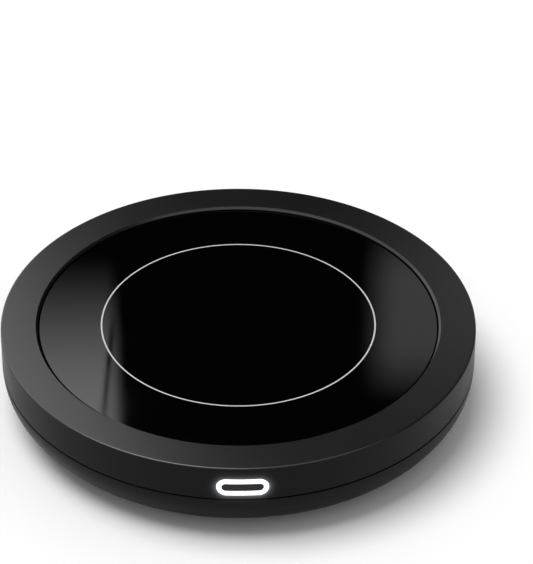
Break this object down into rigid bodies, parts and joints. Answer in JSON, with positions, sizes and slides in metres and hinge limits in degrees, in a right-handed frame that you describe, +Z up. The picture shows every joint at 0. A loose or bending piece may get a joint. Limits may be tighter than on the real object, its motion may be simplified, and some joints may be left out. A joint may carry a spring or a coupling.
{
  "type": "electric mug warmer",
  "caption": "Low round electric mug warmer with a recessed, spring-borne glass hot plate and a lit stadium-shaped push button in its side band.",
  "frame": {"origin": "middle of the underside of the four feet, on the surface that the warmer stands on", "axes": "+Z up through the glass plate; the button faces -Y and the cord gland faces +Y"},
  "size_m": [0.13, 0.13, 0.024],
  "materials": {
    "housing_black": "moulded, satin",
    "plate_glass": "smoky black, polished",
    "zone_ink": "screen printed",
    "light_guide": "milky, lit from behind",
    "button_black": "moulded, satin",
    "black_rubber": "matt",
    "label_film": "blank film",
    "silicone": "red silicone",
    "aluminium": "rolled",
    "amber_film": "polyimide film",
    "ceramic_pad": "pressed fibre",
    "steel": "zinc plated",
    "screw_steel": "zinc plated",
    "carrier_plastic": "heat-resistant, moulded",
    "sensor_glass": "epoxy dipped",
    "cutoff_metal": "polished",
    "board_green": "solder mask",
    "part_black": "moulded",
    "plunger_red": "moulded",
    "light_chip": "light-emitting chip",
    "terminal_green": "moulded",
    "fuse_glass": "clear tube with caps",
    "varistor_blue": "epoxy dipped",
    "capacitor_yellow": "moulded box",
    "choke_copper": "enamelled winding",
    "capacitor_sleeve": "shrink sleeve",
    "chip_tin": "ceramic chips",
    "socket_white": "moulded",
    "lead_white": "silicone sleeve",
    "lead_black": "insulated wire"
  },
  "bodies": {
    "base": {"upper_housing": "housing_black", "lower_housing": "housing_black", "housing_screws": "screw_steel", "rubber_feet": "black_rubber", "rating_label": "label_film", "cord_gland": "black_rubber", "push_switch": "part_black", "switch_board": "board_green", "status_lights": "light_chip", "control_board": "board_green", "board_screws": "screw_steel", "terminal_block": "terminal_green", "fuse": "fuse_glass", "surge_varistor": "varistor_blue", "x_capacitor": "capacitor_yellow", "choke": "choke_copper", "bridge_rectifier": "part_black", "smoothing_capacitor": "capacitor_sleeve", "weight_switch": "part_black", "heater_triac": "part_black", "microcontroller": "part_black", "chip_parts": "chip_tin", "heater_socket": "socket_white", "button_socket": "socket_white", "sensor_socket": "socket_white", "button_leads": "lead_black", "return_springs": "steel", "heater_leads": "lead_white", "sensor_leads": "lead_white"},
    "plate": {"glass_plate": "plate_glass", "zone_ring": "zone_ink", "glass_seal": "silicone", "heat_spreader": "aluminium", "heater_film": "amber_film", "insulation_pad": "ceramic_pad", "clamp_plate": "steel", "plate_carrier": "carrier_plastic", "carrier_screws": "screw_steel", "clamp_screws": "screw_steel", "temperature_sensor": "sensor_glass", "thermal_cutoff": "cutoff_metal", "cutoff_clip": "steel"},
    "button": {"button_light_ring": "light_guide", "button_cap": "button_black"},
    "push_plunger": {"push_switch_plunger": "plunger_red"},
    "weight_plunger": {"weight_switch_plunger": "plunger_red"}
  },
  "joints": [
    {"name": "plate_travel", "type": "slide", "parent": "base", "child": "plate", "axis": [0, 0, -1], "range_m": [0, 0.0005], "stiffness_N_per_m": 1200, "springref_m": -0.0025, "deforming": ["return_springs", "heater_leads", "sensor_leads"]},
    {"name": "weight_switch_travel", "type": "slide", "parent": "base", "child": "weight_plunger", "axis": [0, 0, -1], "range_m": [0, 0.0005]},
    {"name": "button_press", "type": "slide", "parent": "base", "child": "button", "axis": [0, 1, 0], "range_m": [0, 0.0005], "stiffness_N_per_m": 2000, "springref_m": -0.0002},
    {"name": "push_switch_travel", "type": "slide", "parent": "base", "child": "push_plunger", "axis": [0, 1, 0], "range_m": [0, 0.0005]}
  ],
  "couplings": [
    {"joint": "weight_switch_travel", "follows": "plate_travel", "ratio": 1},
    {"joint": "push_switch_travel", "follows": "button_press", "ratio": 1}
  ]
}
